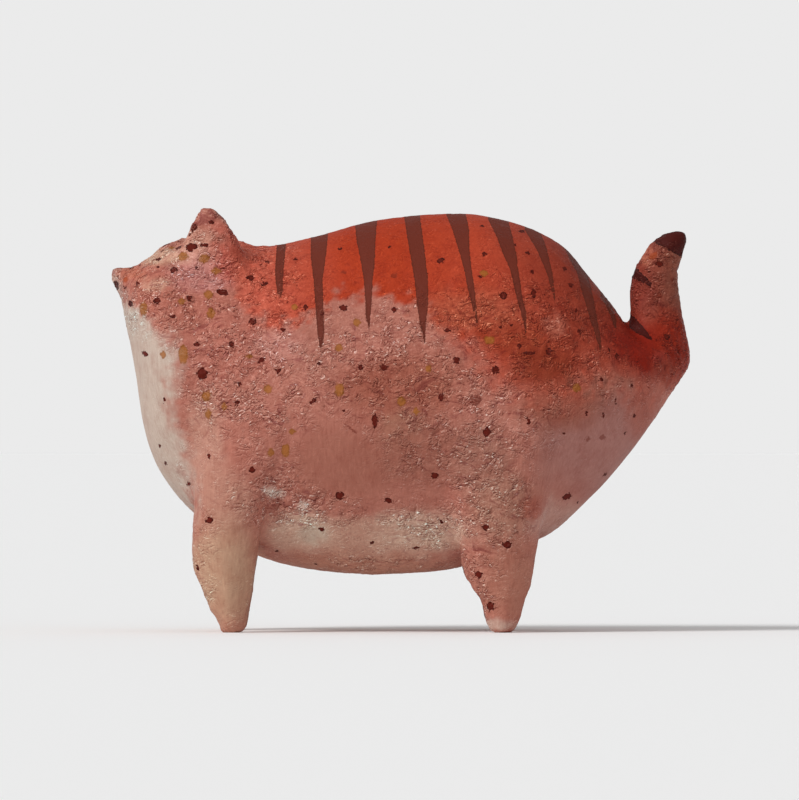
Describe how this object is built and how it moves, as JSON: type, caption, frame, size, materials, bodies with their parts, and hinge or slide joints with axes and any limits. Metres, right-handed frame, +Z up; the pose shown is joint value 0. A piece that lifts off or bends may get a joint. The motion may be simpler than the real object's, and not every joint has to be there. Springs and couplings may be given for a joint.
{
  "type": "papier-mache cat figurine",
  "caption": "Fat standing cat figurine of painted papier-mache, with peg legs, pointed ears, an upturned tail, dark back stripes and scattered flecks.",
  "frame": {"origin": "middle of the underside of the bounding box: on the ground, halfway between the nose and the rump and under the spine", "axes": "+X from the nose towards the tail, +Y towards the cat's right side, +Z up"},
  "size_m": [0.2401, 0.1244, 0.1758],
  "materials": {
    "painted_paper": "satin"
  },
  "bodies": {
    "root": {"cat": "painted_paper"}
  },
  "joints": []
}
